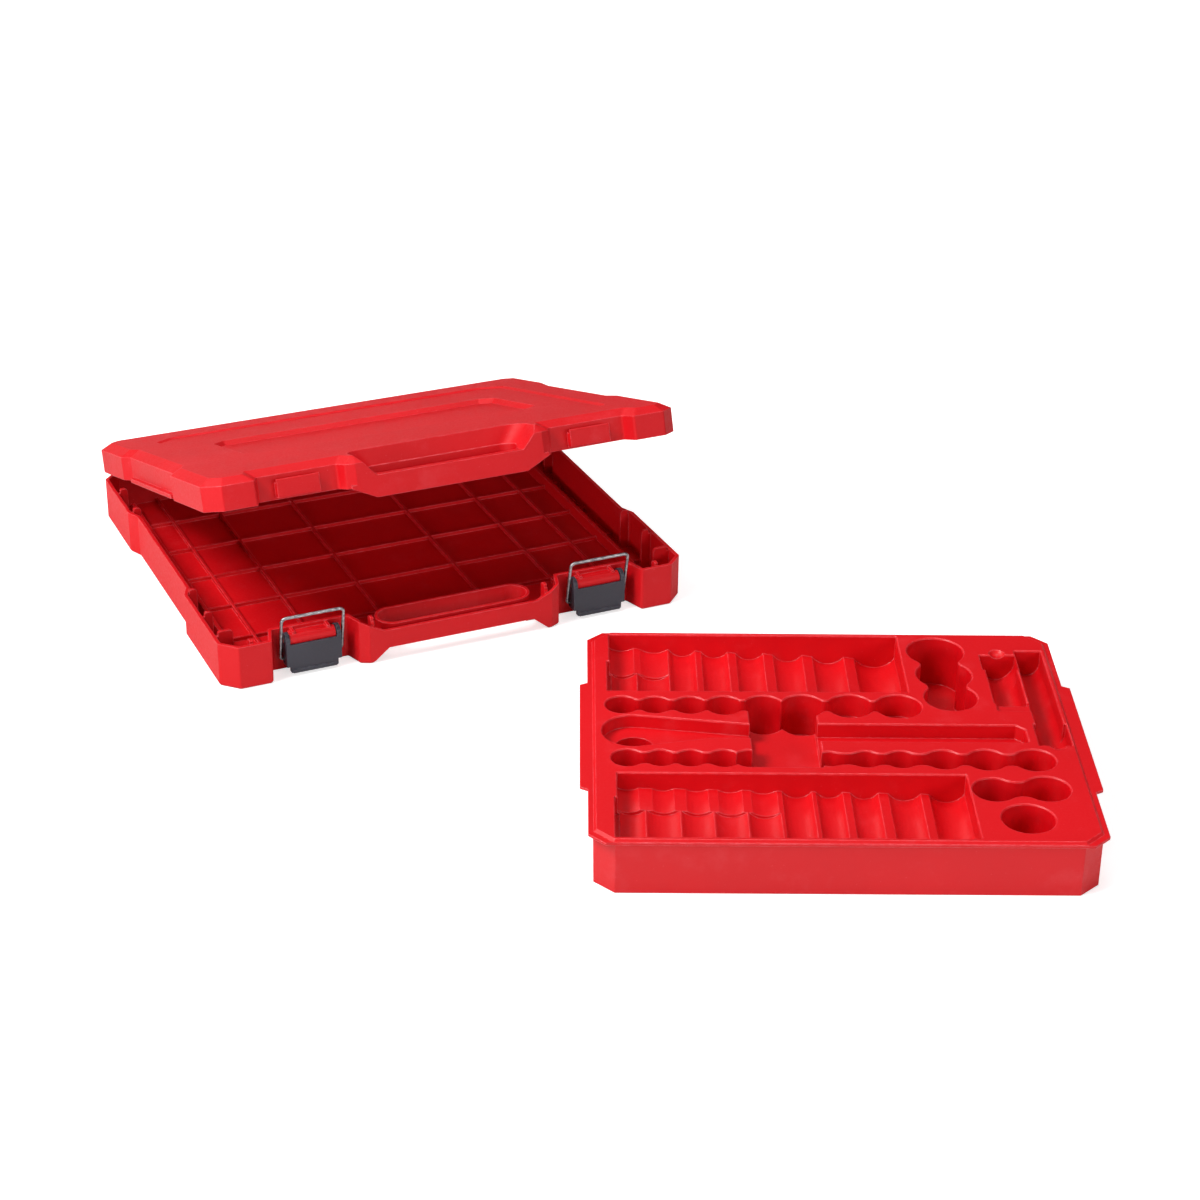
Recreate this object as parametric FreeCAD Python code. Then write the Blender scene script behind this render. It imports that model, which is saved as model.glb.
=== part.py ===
import FreeCAD, Part
import math
import os

# Socket organizer box: hinged case with two draw latches and a lift-out socket tray.
# Case frame: X along the hinge, +Y to the hinge side, Z up, z = 0 under the case floor.

V = FreeCAD.Vector

# ---------------------------------------------------------------- driving sizes (mm)
case_half_width = 152.0
case_half_depth = 136.0
corner_cut = 10.0
wall = 2.2
floor = 2.2
base_height = 28.0
parting_gap = 0.3
lid_clearance = 0.4
lid_side_height = 15.0
lid_height = 19.0
lid_bevel = 7.0
lid_open_angle = 17.5
front_plane = -case_half_depth
rear_inner = case_half_depth - wall

# side walls step inwards between the corner blocks
side_inset = 4.0
inset_front = (front_plane + 79.0, front_plane + 88.0)
inset_back = (case_half_depth - 75.0, case_half_depth - 66.0)

# latch recesses in the front wall
latch_from_side = 58.0
latch_x = case_half_width - latch_from_side
base_recess = 14.5
lid_recess = 10.8
recess_outer_front = latch_x + 27.5
recess_outer_taper = 4.5
recess_inner_front = latch_x - 28.2
recess_inner_taper = 3.6
handle_shoulder = 5.8
handle_half = recess_inner_front - handle_shoulder
handle_cut = 2.8

# handle zone in the middle of the front wall
foot_width = 2.0
foot_inner = handle_half - foot_width
hand_gap_slope = 10.5
hand_gap_half = foot_inner - hand_gap_slope
hand_gap_height = 8.6
dip_half = hand_gap_half + 2.5
dip_slope = 15.0
dip_top_half = dip_half + dip_slope
dip_depth = 7.5
bar_side_gap = 1.5
bar_half = dip_half - bar_side_gap
bar_top_half = dip_top_half - bar_side_gap
bar_drop = dip_depth - parting_gap
ring_half = dip_half + 0.5
ring_radius = 11.25
ring_wall = 2.0
ring_setback = 16.25
ring_y = front_plane + ring_setback
ring_below_rim = 6.5
ring_top = base_height - ring_below_rim
ring_gap = 0.6

# inside the base
grid_x = (33.4, 83.5, 115.8)
grid_first = front_plane + 56.0
grid_pitch = 43.45
grid_count = 5
grid_y = tuple(grid_first + i * grid_pitch for i in range(grid_count))
grid_width = 1.6
grid_height = 2.4
ledge_from_side = 17.3
ledge_x = case_half_width - ledge_from_side
ledge_width = 2.5
ledge_top = 10.0
ledge_y = (front_plane + 43.0, case_half_depth - 16.0)
gutter_rib_top = 5.0
fin_y = (front_plane + 48.5, front_plane + 81.0, case_half_depth - 65.0, case_half_depth - 33.0)
fin_reach = 6.6
fin_tip_x = case_half_width - wall - fin_reach
fin_above_rim = 2.0
fin_top = base_height + fin_above_rim
fin_setback = 1.6
fin_width = 2.0
corner_fin_x = case_half_width - 13.0
corner_fin_y = front_plane + 21.5
front_fin_x = case_half_width - 19.0
front_fin_y = front_plane + 9.0
handle_fin_x = handle_half - 3.0

# rear hinges
hinge_from_side = 64.0
hinge_x = case_half_width - hinge_from_side
knuckle_radius = 4.2
knuckle_wall_gap = 1.3
hinge_y = case_half_depth + knuckle_wall_gap + knuckle_radius
hinge_z = base_height + parting_gap / 2
knuckle_gap = 0.3
lid_knuckle_half = 9.7
base_knuckle_length = 12.0
base_knuckle_out = lid_knuckle_half + knuckle_gap + base_knuckle_length
hinge_pin_radius = 1.5
running_gap = 0.06
pin_stand_out = 0.4

# draw latches
barrel_y = front_plane + 9.0
barrel_z = base_height - 5.7
barrel_radius = 4.0
barrel_half = 14.4
ear_gap = 0.4
ear_inner = barrel_half + ear_gap
ear_thickness = 2.5
ear_outer = ear_inner + ear_thickness
ear_radius = 4.9
plate_front = barrel_y - 5.2
plate_thickness = 2.4
plate_bottom = base_height - 26.0
plate_top = barrel_z - 1.4
plate_narrow = ear_inner + 0.2
latch_pin_radius = 1.5
bail_pivot_y = barrel_y + 1.6
bail_pivot_z = barrel_z - 12.8
bail_length = 30.4
wire_radius = 1.0
bail_half = ear_outer + wire_radius + 1.2
bail_bend = 3.0
bail_foot_bend = 1.8
bail_lean = 11.5

# keeper hooks on the lid
keeper_half = 13.2
keeper_front = front_plane + 5.9
keeper_lip = 1.5
keeper_bottom = 1.5
keeper_groove = 10.2
keeper_top = 12.6

# lid surface
frame_half_x = case_half_width - 28.5
frame_y = (front_plane + 34.0, case_half_depth - 36.0)
frame_cut = 13.0
frame_slope = 2.2
frame_depth = 1.2
panel_half_x = case_half_width - 54.0
panel_y = (front_plane + 95.5, case_half_depth - 88.0)
panel_cut = 8.5
panel_depth = 3.0
panel_slope = 2.8
finger_back_low = ring_y + ring_radius - ring_wall + 0.6
finger_back_slope = 1.8
finger_back_top = finger_back_low + finger_back_slope
finger_low_half = ring_half - 1.5
finger_side_slope = 9.4
finger_top_half = finger_low_half + finger_side_slope
finger_shelf = 8.2
finger_bar_top = 6.2
finger_round_low = 8.5
finger_round_top = 11.0

# socket tray, in its own frame, standing on z = 0; it fits in the base
tray_side_gap = 0.7
tray_half_x = ledge_x - tray_side_gap
tray_end_gap = 5.85
tray_half_y = (rear_inner - ring_y - ring_radius) / 2 - tray_end_gap
tray_cut_x = 11.2
tray_cut_y = 10.6
tray_skirt = 2.0
plateau_top = 32.8
flange_top = plateau_top - 1.5
flange_bottom = flange_top - 1.5
flange_half_x = tray_half_x + 3.0
flange_half_y = tray_half_y + 0.7
flange_cut = 9.0
wing_gap = 1.8
wing_half_x = fin_tip_x - wing_gap
wing_y = (-tray_half_y + 51.5, tray_half_y - 58.7)
wing_slope = 4.0
plateau_half_x = tray_half_x - 1.3
plateau_half_y = tray_half_y - 1.4
plateau_cut = 9.6
deck = 2.0
pocket_wall = 1.6
mouth_edge = 0.6

tray_yaw = -23.92
tray_x = 131.1
tray_y = front_plane - 230.0


# ---------------------------------------------------------------- helpers
def plan(z):
    return lambda u, v: V(u, v, z)


def front_view(y):
    return lambda u, v: V(u, y, v)


def side_view(x):
    return lambda u, v: V(x, u, v)


def ring_wire(points, radius, place):
    """Closed outline with every corner rounded, as a wire."""
    n = len(points)
    radii = list(radius) if isinstance(radius, (list, tuple)) else [radius] * n
    starts, mids, ends = [], [], []
    for i in range(n):
        p, c, q = points[i - 1], points[i], points[(i + 1) % n]
        a = (p[0] - c[0], p[1] - c[1])
        b = (q[0] - c[0], q[1] - c[1])
        la = math.hypot(*a)
        lb = math.hypot(*b)
        a = (a[0] / la, a[1] / la)
        b = (b[0] / lb, b[1] / lb)
        cosine = max(-1.0, min(1.0, a[0] * b[0] + a[1] * b[1]))
        angle = math.acos(cosine)
        if radii[i] <= 0 or angle > math.pi - 0.02:
            starts.append(c)
            mids.append(None)
            ends.append(c)
            continue
        reach = min(radii[i] / math.tan(angle / 2), 0.45 * la, 0.45 * lb)
        r = reach * math.tan(angle / 2)
        bis = (a[0] + b[0], a[1] + b[1])
        lbis = math.hypot(*bis)
        bis = (bis[0] / lbis, bis[1] / lbis)
        far = r / math.sin(angle / 2) - r
        starts.append((c[0] + a[0] * reach, c[1] + a[1] * reach))
        mids.append((c[0] + bis[0] * far, c[1] + bis[1] * far))
        ends.append((c[0] + b[0] * reach, c[1] + b[1] * reach))
    edges = []
    for i in range(n):
        if mids[i] is not None:
            arc = Part.Arc(place(*starts[i]), place(*mids[i]), place(*ends[i]))
            edges.append(arc.toShape())
        s, e = place(*ends[i]), place(*starts[(i + 1) % n])
        if s.distanceToPoint(e) > 1e-6:
            edges.append(Part.makeLine(s, e))
    return Part.Wire(edges)


def inset(points, distance):
    """Outline moved inwards; points run anticlockwise."""
    n = len(points)
    lines = []
    for i in range(n):
        p, q = points[i], points[(i + 1) % n]
        dx, dy = q[0] - p[0], q[1] - p[1]
        length = math.hypot(dx, dy)
        nx, ny = -dy / length, dx / length
        lines.append((p[0] + nx * distance, p[1] + ny * distance, dx, dy))
    out = []
    for i in range(n):
        x1, y1, dx1, dy1 = lines[i - 1]
        x2, y2, dx2, dy2 = lines[i]
        cross = dx1 * dy2 - dy1 * dx2
        if abs(cross) < 1e-9:
            out.append((x2, y2))
            continue
        t = ((x2 - x1) * dy2 - (y2 - y1) * dx2) / cross
        out.append((x1 + dx1 * t, y1 + dy1 * t))
    return out


def prism(points, radius, low, high):
    face = Part.Face(ring_wire(points, radius, plan(low)))
    return face.extrude(V(0, 0, high - low))


def front_prism(points, radius, y0, y1):
    face = Part.Face(ring_wire(points, radius, front_view(y0)))
    return face.extrude(V(0, y1 - y0, 0))


def side_prism(points, radius, x0, x1):
    face = Part.Face(ring_wire(points, radius, side_view(x0)))
    return face.extrude(V(x1 - x0, 0, 0))


def taper(low_points, low_radius, low, high_points, high_radius, high):
    wires = [
        ring_wire(low_points, low_radius, plan(low)),
        ring_wire(high_points, high_radius, plan(high)),
    ]
    return Part.makeLoft(wires, True, True)


def box(x0, x1, y0, y1, z0, z1):
    return Part.makeBox(x1 - x0, y1 - y0, z1 - z0, V(x0, y0, z0))


def rod(x0, x1, y, z, radius):
    return Part.makeCylinder(radius, x1 - x0, V(x0, y, z), V(1, 0, 0))


def post(x, y, z0, z1, radius):
    return Part.makeCylinder(radius, z1 - z0, V(x, y, z0), V(0, 0, 1))


def rectangle(x0, x1, y0, y1):
    return [(x0, y0), (x1, y0), (x1, y1), (x0, y1)]


def cut_rectangle(x0, x1, y0, y1, cx, cy):
    return [
        (x0 + cx, y0), (x1 - cx, y0), (x1, y0 + cy), (x1, y1 - cy),
        (x1 - cx, y1), (x0 + cx, y1), (x0, y1 - cy), (x0, y0 + cy),
    ]


def stadium(half, radius, y, low, high):
    """Upright bar with round ends, long side along X."""
    place = plan(low)
    straight = half - radius
    corners = [place(-straight, y - radius), place(straight, y - radius),
               place(straight, y + radius), place(-straight, y + radius)]
    edges = [
        Part.makeLine(corners[0], corners[1]),
        Part.Arc(corners[1], place(half, y), corners[2]).toShape(),
        Part.makeLine(corners[2], corners[3]),
        Part.Arc(corners[3], place(-half, y), corners[0]).toShape(),
    ]
    return Part.Face(Part.Wire(edges)).extrude(V(0, 0, high - low))


def mirrored(right):
    left = [(-x, y) for x, y in reversed(right)]
    return right + left


def both_sides(shape):
    return [shape, shape.mirror(V(0, 0, 0), V(1, 0, 0))]


def cleaned(shape):
    """Merge faces that lie in one surface, where the merged shape stays sound."""
    merged = shape.removeSplitter()
    if merged.isValid():
        shape = merged
    if shape.ShapeType == "Compound" and len(shape.Solids) == 1:
        shape = shape.Solids[0]
    return shape


# ---------------------------------------------------------------- case outline
def case_outline(recess):
    front = -case_half_depth
    inner = recess_inner_front + recess_inner_taper * (recess - handle_cut) / (base_recess - handle_cut)
    outer = recess_outer_front - recess_outer_taper * recess / base_recess
    corner = case_half_width - corner_cut
    inset_x = case_half_width - side_inset
    right = [
        (handle_half, front),
        (recess_inner_front, front + handle_cut),
        (inner, front + recess),
        (outer, front + recess),
        (recess_outer_front, front),
        (corner, front),
        (case_half_width, front + corner_cut),
        (case_half_width, inset_front[0]),
        (inset_x, inset_front[1]),
        (inset_x, inset_back[0]),
        (case_half_width, inset_back[1]),
        (case_half_width, case_half_depth - corner_cut),
        (corner, case_half_depth),
    ]
    return mirrored(right)


base_face = front_plane + base_recess
lid_face = front_plane + lid_recess
wall_inner_x = case_half_width - wall
wall_inner_front = front_plane + wall


# ---------------------------------------------------------------- case base
fin_rounds = [0, 0, 0, 0, 1.4, 2.6]


def fin_profile(tip_x, low):
    """A fin on the side wall; its tongue rises above the rim, inside the lid's wall."""
    rim = wall_inner_x + wall / 2
    tongue = wall_inner_x - fin_setback
    shoulder = base_height - 0.8
    return [
        (tip_x, low), (rim, low), (rim, shoulder),
        (tongue, shoulder), (tongue, fin_top), (tip_x, fin_top),
    ]


def wall_fin(y):
    return front_prism(fin_profile(fin_tip_x, floor / 2), fin_rounds, y - fin_width / 2, y + fin_width / 2)


def front_fin(x, tip_y, low):
    rim = wall_inner_front - wall / 2
    tongue = wall_inner_front + fin_setback
    shoulder = base_height - 0.8
    top = fin_top - 0.8
    shape = [(rim, low), (tip_y, low), (tip_y, top), (tongue, top), (tongue, shoulder), (rim, shoulder)]
    return side_prism(shape, [0, 0, 2.4, 1.2, 0, 0], x - fin_width / 2, x + fin_width / 2)


def knuckle(x0, x1, side):
    """Hinge knuckle with the web that carries it; side -1 hangs on the base, +1 on the lid."""
    foot_y = case_half_depth + 2.0
    foot_z = hinge_z + side * 10.0
    inside_y = case_half_depth - wall / 2
    rim = hinge_z + side * parting_gap / 2
    reach = math.hypot(foot_y - hinge_y, foot_z - hinge_z)
    toward_foot = math.atan2(foot_z - hinge_z, foot_y - hinge_y)
    touch = toward_foot - side * math.acos(knuckle_radius / reach)
    leave = -side * (math.pi + math.asin(parting_gap / 2 / knuckle_radius))
    place = side_view(x0)

    def on_circle(angle):
        return place(hinge_y + knuckle_radius * math.cos(angle), hinge_z + knuckle_radius * math.sin(angle))

    corners = [on_circle(leave), place(inside_y, rim), place(inside_y, foot_z + side * 2.0),
               place(foot_y, foot_z), on_circle(touch)]
    edges = [Part.makeLine(corners[i], corners[i + 1]) for i in range(4)]
    edges.append(Part.Arc(on_circle(touch), on_circle((touch + leave) / 2), on_circle(leave)).toShape())
    return Part.Face(Part.Wire(edges)).extrude(V(x1 - x0, 0, 0))


def dip_over(back_y):
    """Space over the lowered rim of the front wall, where the lid's bar comes down."""
    low = base_height - dip_depth
    shape = [
        (-dip_half, low), (dip_half, low), (dip_top_half, base_height),
        (dip_top_half, base_height + 1), (-dip_top_half, base_height + 1), (-dip_top_half, base_height),
    ]
    return front_prism(shape, 0, front_plane - 1, back_y)


def make_base():
    outline = case_outline(base_recess)
    foot_edge = 1.2
    shell = taper(inset(outline, 0.8), 1.4, 0, outline, 1.8, foot_edge)
    shell = shell.fuse(prism(outline, 1.8, foot_edge, base_height))

    hand_floor = hand_gap_height + floor
    step = front_prism(
        [(-foot_inner - wall, -1), (foot_inner + wall, -1), (foot_inner + wall, 1.2),
         (hand_gap_half + 1.0, hand_floor), (-hand_gap_half - 1.0, hand_floor), (-foot_inner - wall, 1.2)],
        0, front_plane - 1, base_face + wall)
    hollow = prism(inset(outline, wall), 0.8, floor, base_height + 1).cut(step)
    hand_gap = front_prism(
        [(-foot_inner, -1), (foot_inner, -1), (foot_inner, 0), (hand_gap_half, hand_gap_height),
         (-hand_gap_half, hand_gap_height), (-foot_inner, 0)],
        0, front_plane - 1, base_face)
    body = shell.cut(hollow).cut(hand_gap).cut(dip_over(wall_inner_front + 3.0))

    adds = []
    ring = stadium(ring_half, ring_radius, ring_y, 0, ring_top).cut(hand_gap)
    adds.append(ring)
    back_inner = case_half_depth - wall / 2
    low, high = floor / 2, floor + grid_height
    for y in grid_y:
        adds.append(box(-ledge_x, ledge_x, y - grid_width / 2, y + grid_width / 2, low, high))
        gutter = box(ledge_x, wall_inner_x - side_inset + 0.5, y - grid_width / 2, y + grid_width / 2,
                     low, gutter_rib_top)
        adds += both_sides(gutter)
    for x in grid_x:
        start = ring_y + ring_radius - 1 if x < ring_half else base_face + wall / 2
        rib = box(x - grid_width / 2, x + grid_width / 2, start, back_inner, low, high)
        adds += both_sides(rib)
    adds += both_sides(box(ledge_x, ledge_x + ledge_width, ledge_y[0], ledge_y[1], low, ledge_top))
    for y in fin_y:
        adds += both_sides(wall_fin(y))
    rim = wall_inner_x + wall / 2
    corner_fin = front_prism(fin_profile(corner_fin_x, low), fin_rounds,
                             corner_fin_y - fin_width / 2, corner_fin_y + fin_width / 2)
    adds += both_sides(corner_fin)
    adds += both_sides(front_fin(front_fin_x, front_fin_y, low))
    handle_fin = front_fin(handle_fin_x, front_fin_y, hand_gap_height + floor / 2 - 2.0)
    adds += both_sides(handle_fin.cut(dip_over(wall_inner_front + lid_clearance)))

    for side in (-1, 1):
        cx = side * latch_x
        adds.append(rod(cx - barrel_half, cx + barrel_half, barrel_y, barrel_z, barrel_radius))
        web_half = barrel_half - 1.2
        adds.append(box(cx - web_half, cx + web_half, barrel_y + 1, base_face + wall / 2,
                        barrel_z - 2.6, barrel_z + 3.2))
        for nub in (-1, 1):
            nx = cx + nub * (barrel_half - 3.4)
            adds.append(box(nx - 0.9, nx + 0.9, barrel_y - 1.0, base_face + wall / 2,
                            barrel_z + 2.0, base_height - 0.6))
        hx = side * hinge_x
        for lo, hi in ((-base_knuckle_out, -lid_knuckle_half - knuckle_gap),
                       (lid_knuckle_half + knuckle_gap, base_knuckle_out)):
            adds.append(knuckle(hx + lo, hx + hi, -1))
    body = body.multiFuse(adds)

    cuts = [stadium(ring_half - ring_wall, ring_radius - ring_wall, ring_y, -1, ring_top + 1)]
    for side in (-1, 1):
        cx = side * latch_x
        cuts.append(rod(cx - barrel_half - 1, cx + barrel_half + 1, barrel_y, barrel_z, latch_pin_radius))
        hx = side * hinge_x
        cuts.append(rod(hx - base_knuckle_out - 1, hx + base_knuckle_out + 1, hinge_y, hinge_z,
                        hinge_pin_radius))
    for c in cuts:
        body = body.cut(c)
    return cleaned(body)


# ---------------------------------------------------------------- lid, closed, then opened
def make_lid():
    z0 = base_height + parting_gap
    side_top = z0 + lid_side_height
    top = z0 + lid_height
    outline = case_outline(lid_recess)
    crown = inset(outline, lid_bevel)
    shell = prism(outline, 1.8, z0, side_top)
    shell = shell.fuse(taper(outline, 1.8, side_top, crown, 2.4, top))

    inner = inset(outline, wall)
    inner_crown = inset(outline, lid_bevel + wall * 0.45)
    shoulder = side_top - wall * 0.4
    hollow = prism(inner, 0.8, z0 - 1, shoulder)
    hollow = hollow.fuse(taper(inner, 0.8, shoulder, inner_crown, 1.0, top - wall))

    low = z0 - bar_drop
    shelf = z0 + finger_shelf
    bar_front_low = finger_low_half - (finger_shelf - finger_bar_top)
    bar_back = ring_y - ring_radius + ring_wall
    bar = front_prism(
        [(-bar_half, low), (bar_half, low), (bar_top_half, z0), (bar_top_half, z0 + 2),
         (-bar_top_half, z0 + 2), (-bar_top_half, z0)],
        [1.2, 1.2, 0, 0, 0, 0], front_plane, wall_inner_front)
    body = shell.cut(hollow).fuse(bar)

    ring_low = ring_top + ring_gap
    ring = stadium(ring_half, ring_radius, ring_y, ring_low, shelf + wall)
    bar_core = box(-bar_half, bar_half, front_plane + 0.5, bar_back + 0.5, z0 - 2.0, shelf)
    skin = wall - 0.7
    high_half = finger_top_half + skin
    low_half = finger_low_half + skin
    pocket_body = taper(
        rectangle(-low_half, low_half, front_plane + 0.3, finger_back_low + skin), 0, shelf - wall,
        rectangle(-high_half, high_half, front_plane + 0.3, finger_back_top + skin), 0, top - 0.4)
    mid_wall = inset(outline, wall / 2)
    mid_crown = inset(outline, lid_bevel + wall / 4)
    within = prism(mid_wall, 1.8, z0 - 1, side_top)
    within = within.fuse(taper(mid_wall, 1.8, side_top, mid_crown, 2.4, top - wall / 2))
    pocket_body = pocket_body.common(within)
    panel = cut_rectangle(-panel_half_x, panel_half_x, panel_y[0], panel_y[1], panel_cut, panel_cut)
    panel_back = prism(inset(panel, -0.5), 1.0, top - frame_depth - panel_depth - wall, top - wall / 2)
    frame = cut_rectangle(-frame_half_x, frame_half_x, frame_y[0], frame_y[1], frame_cut, frame_cut)
    frame_back = prism(inset(frame, -1.0), 1.0, top - frame_depth - wall, top - wall / 2)
    body = body.multiFuse([ring, bar_core, pocket_body, panel_back, frame_back])

    ahead = front_plane - 2 * finger_round_top
    pocket = taper(
        rectangle(-finger_low_half, finger_low_half, ahead, finger_back_low), finger_round_low, shelf,
        rectangle(-finger_top_half, finger_top_half, ahead, finger_back_top), finger_round_top, top + 0.01)
    body = body.cut(pocket)
    lower = bar_front_low
    body = body.cut(front_prism(
        [(-lower, z0 + finger_bar_top), (lower, z0 + finger_bar_top),
         (finger_low_half, shelf + 0.01), (-finger_low_half, shelf + 0.01)],
        [0, 0, 0, 0], front_plane - 1, ring_y))
    body = body.cut(stadium(ring_half - ring_wall, ring_radius - ring_wall, ring_y, low - 2, shelf + 2))
    field = top - frame_depth
    body = body.cut(taper(inset(frame, frame_slope), 1.5, field, frame, 2.5, top + 0.01))
    body = body.cut(taper(inset(panel, panel_slope), 1.5, field - panel_depth, panel, 2.5, field + 0.01))

    adds = []
    for side in (-1, 1):
        cx = side * latch_x
        shelf_in = min(recess_inner_front, recess_outer_front)
        xs = sorted((side * (shelf_in + 1.5), side * (recess_outer_front - 1.5)))
        adds.append(box(xs[0], xs[1], lid_face + wall / 2, base_face + wall, z0, z0 + wall))
        keeper = side_prism(
            [(lid_face + wall / 2, z0 + keeper_bottom), (lid_face + wall / 2, z0 + keeper_groove),
             (keeper_front + keeper_lip, z0 + keeper_groove), (keeper_front + keeper_lip, z0 + keeper_top),
             (keeper_front, z0 + keeper_top), (keeper_front, z0 + keeper_bottom)],
            [0, 0, 0.4, 0.5, 0.6, 0.6], cx - keeper_half, cx + keeper_half)
        adds.append(keeper)
        hx = side * hinge_x
        adds.append(knuckle(hx - lid_knuckle_half, hx + lid_knuckle_half, 1))
        lip = box(case_half_width - side_inset - 0.5, case_half_width - 0.6, inset_front[1] - 1.0,
                  inset_back[0] - 8.0, z0, z0 + 2.6)
        adds += [lip if side > 0 else lip.mirror(V(0, 0, 0), V(1, 0, 0))]
    body = body.multiFuse(adds)
    for side in (-1, 1):
        hx = side * hinge_x
        body = body.cut(rod(hx - 30, hx + 30, hinge_y, hinge_z, hinge_pin_radius + running_gap))
    body = cleaned(body)
    body.rotate(V(0, hinge_y, hinge_z), V(1, 0, 0), -lid_open_angle)
    return body


# ---------------------------------------------------------------- latches
def make_lever(cx):
    lean = 0.6
    ear_back = barrel_y + ear_radius - lean
    profile = [
        (ear_back, barrel_z), (ear_back, bail_pivot_z - 2.4), (ear_back - 2.2, plate_bottom + 4.2),
        (plate_front, plate_bottom + 4.2), (plate_front, barrel_z),
    ]
    ears = []
    for x0, x1 in ((cx - ear_outer, cx - ear_inner), (cx + ear_inner, cx + ear_outer)):
        ears.append(rod(x0, x1, barrel_y, barrel_z, ear_radius))
        ears.append(side_prism(profile, [0, 1.6, 1.6, 0, 0], x0, x1))
    shoulder_low = plate_bottom + 4.1
    shoulder_high = plate_bottom + 7.3
    face = [
        (cx - plate_narrow, plate_bottom), (cx + plate_narrow, plate_bottom),
        (cx + plate_narrow, shoulder_low), (cx + ear_outer, shoulder_high), (cx + ear_outer, plate_top),
        (cx - ear_outer, plate_top), (cx - ear_outer, shoulder_high), (cx - plate_narrow, shoulder_low),
    ]
    plate = front_prism(face, [1.0, 1.0, 0.5, 0.5, 0.3, 0.3, 0.5, 0.5], plate_front,
                        plate_front + plate_thickness)
    grip = front_prism(
        [(cx - plate_narrow + 1, plate_bottom), (cx + plate_narrow - 1, plate_bottom),
         (cx + plate_narrow - 1, plate_bottom + 2.2), (cx - plate_narrow + 1, plate_bottom + 2.2)],
        0.6, plate_front - 0.7, plate_front + 1)
    lever = ears[0].multiFuse(ears[1:] + [plate, grip])
    corner_trim = box(cx - ear_outer - 1, cx - plate_narrow, plate_front - 2, ear_back + 2, 0, shoulder_low)
    lever = lever.cut(corner_trim)
    corner_trim = box(cx + plate_narrow, cx + ear_outer + 1, plate_front - 2, ear_back + 2, 0, shoulder_low)
    lever = lever.cut(corner_trim)
    around_barrel = barrel_radius + 0.35
    lever = lever.cut(rod(cx - ear_inner, cx + ear_inner, barrel_y, barrel_z, around_barrel))
    lever = lever.cut(rod(cx - 30, cx + 30, barrel_y, barrel_z, latch_pin_radius + running_gap))
    lever = lever.cut(rod(cx - 30, cx + 30, bail_pivot_y, bail_pivot_z, wire_radius + running_gap))
    return cleaned(lever)


def make_latch_pin(cx):
    reach = ear_outer + pin_stand_out
    return rod(cx - reach, cx + reach, barrel_y, barrel_z, latch_pin_radius)


def make_bail(cx):
    """Bent wire: two inturned feet, two legs and the hooking bar."""
    inner = ear_inner + 0.1
    place = side_view(0)

    def at(x, h):
        return V(cx + x, bail_pivot_y, bail_pivot_z + h)

    def arc(x_corner, h_corner, dx, dh, r):
        """Bend at a corner: comes along x from dx side, leaves along h to dh side."""
        a = at(x_corner + dx * r, h_corner)
        b = at(x_corner, h_corner + dh * r)
        k = r * (1 - math.sqrt(0.5))
        m = at(x_corner + dx * k, h_corner + dh * k)
        return a, m, b

    top = bail_length
    foot_left = arc(-bail_half, 0, 1, 1, bail_foot_bend)
    top_left = arc(-bail_half, top, 1, -1, bail_bend)
    top_right = arc(bail_half, top, -1, -1, bail_bend)
    foot_right = arc(bail_half, 0, -1, 1, bail_foot_bend)
    edges = [
        Part.makeLine(at(-inner, 0), foot_left[0]),
        Part.Arc(foot_left[0], foot_left[1], foot_left[2]).toShape(),
        Part.makeLine(foot_left[2], top_left[2]),
        Part.Arc(top_left[2], top_left[1], top_left[0]).toShape(),
        Part.makeLine(top_left[0], top_right[0]),
        Part.Arc(top_right[0], top_right[1], top_right[2]).toShape(),
        Part.makeLine(top_right[2], foot_right[2]),
        Part.Arc(foot_right[2], foot_right[1], foot_right[0]).toShape(),
        Part.makeLine(foot_right[0], at(inner, 0)),
    ]
    path = Part.Wire(edges)
    circle = Part.Wire([Part.makeCircle(wire_radius, at(-inner, 0), V(1, 0, 0))])
    wire = path.makePipeShell([circle], True, True)
    if not wire.isClosed() or wire.Volume < 0:
        wire.reverse()
    wire.rotate(V(0, bail_pivot_y, bail_pivot_z), V(1, 0, 0), bail_lean)
    return wire


def make_hinge_pin(cx):
    reach = base_knuckle_out + pin_stand_out
    return rod(cx - reach, cx + reach, hinge_y, hinge_z, hinge_pin_radius)


# ---------------------------------------------------------------- tray pockets
left = -tray_half_x
right = tray_half_x
front = -tray_half_y
back = tray_half_y
end_wall = 3.7
side_wall = 1.4

# large deep holes at the back right: centre and diameter
deep_floor = 1.9
deep_holes = (
    (right - 65.9, back - 22.2, 33.2),
    (right - 64.0, back - 50.0, 32.1),
    (right - 63.2, back - 76.9, 30.4),
)
deep_neck_half = 11.0

# large holes at the front right
side_hole_depth = 21.5
side_holes = ((right - 51.9, front + 53.1, 23.9), (right - 23.3, front + 54.2, 25.5))
side_hole_neck = 7.0
single_hole = (right - 37.9, front + 23.8, 28.7)


def start_at(edge, spans, limit):
    """Spans given from an edge of the tray, as many as fit before the limit."""
    placed = tuple((edge + a, edge + b) for a, b in spans)
    return tuple(span for span in placed if span[1] <= limit)


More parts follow.
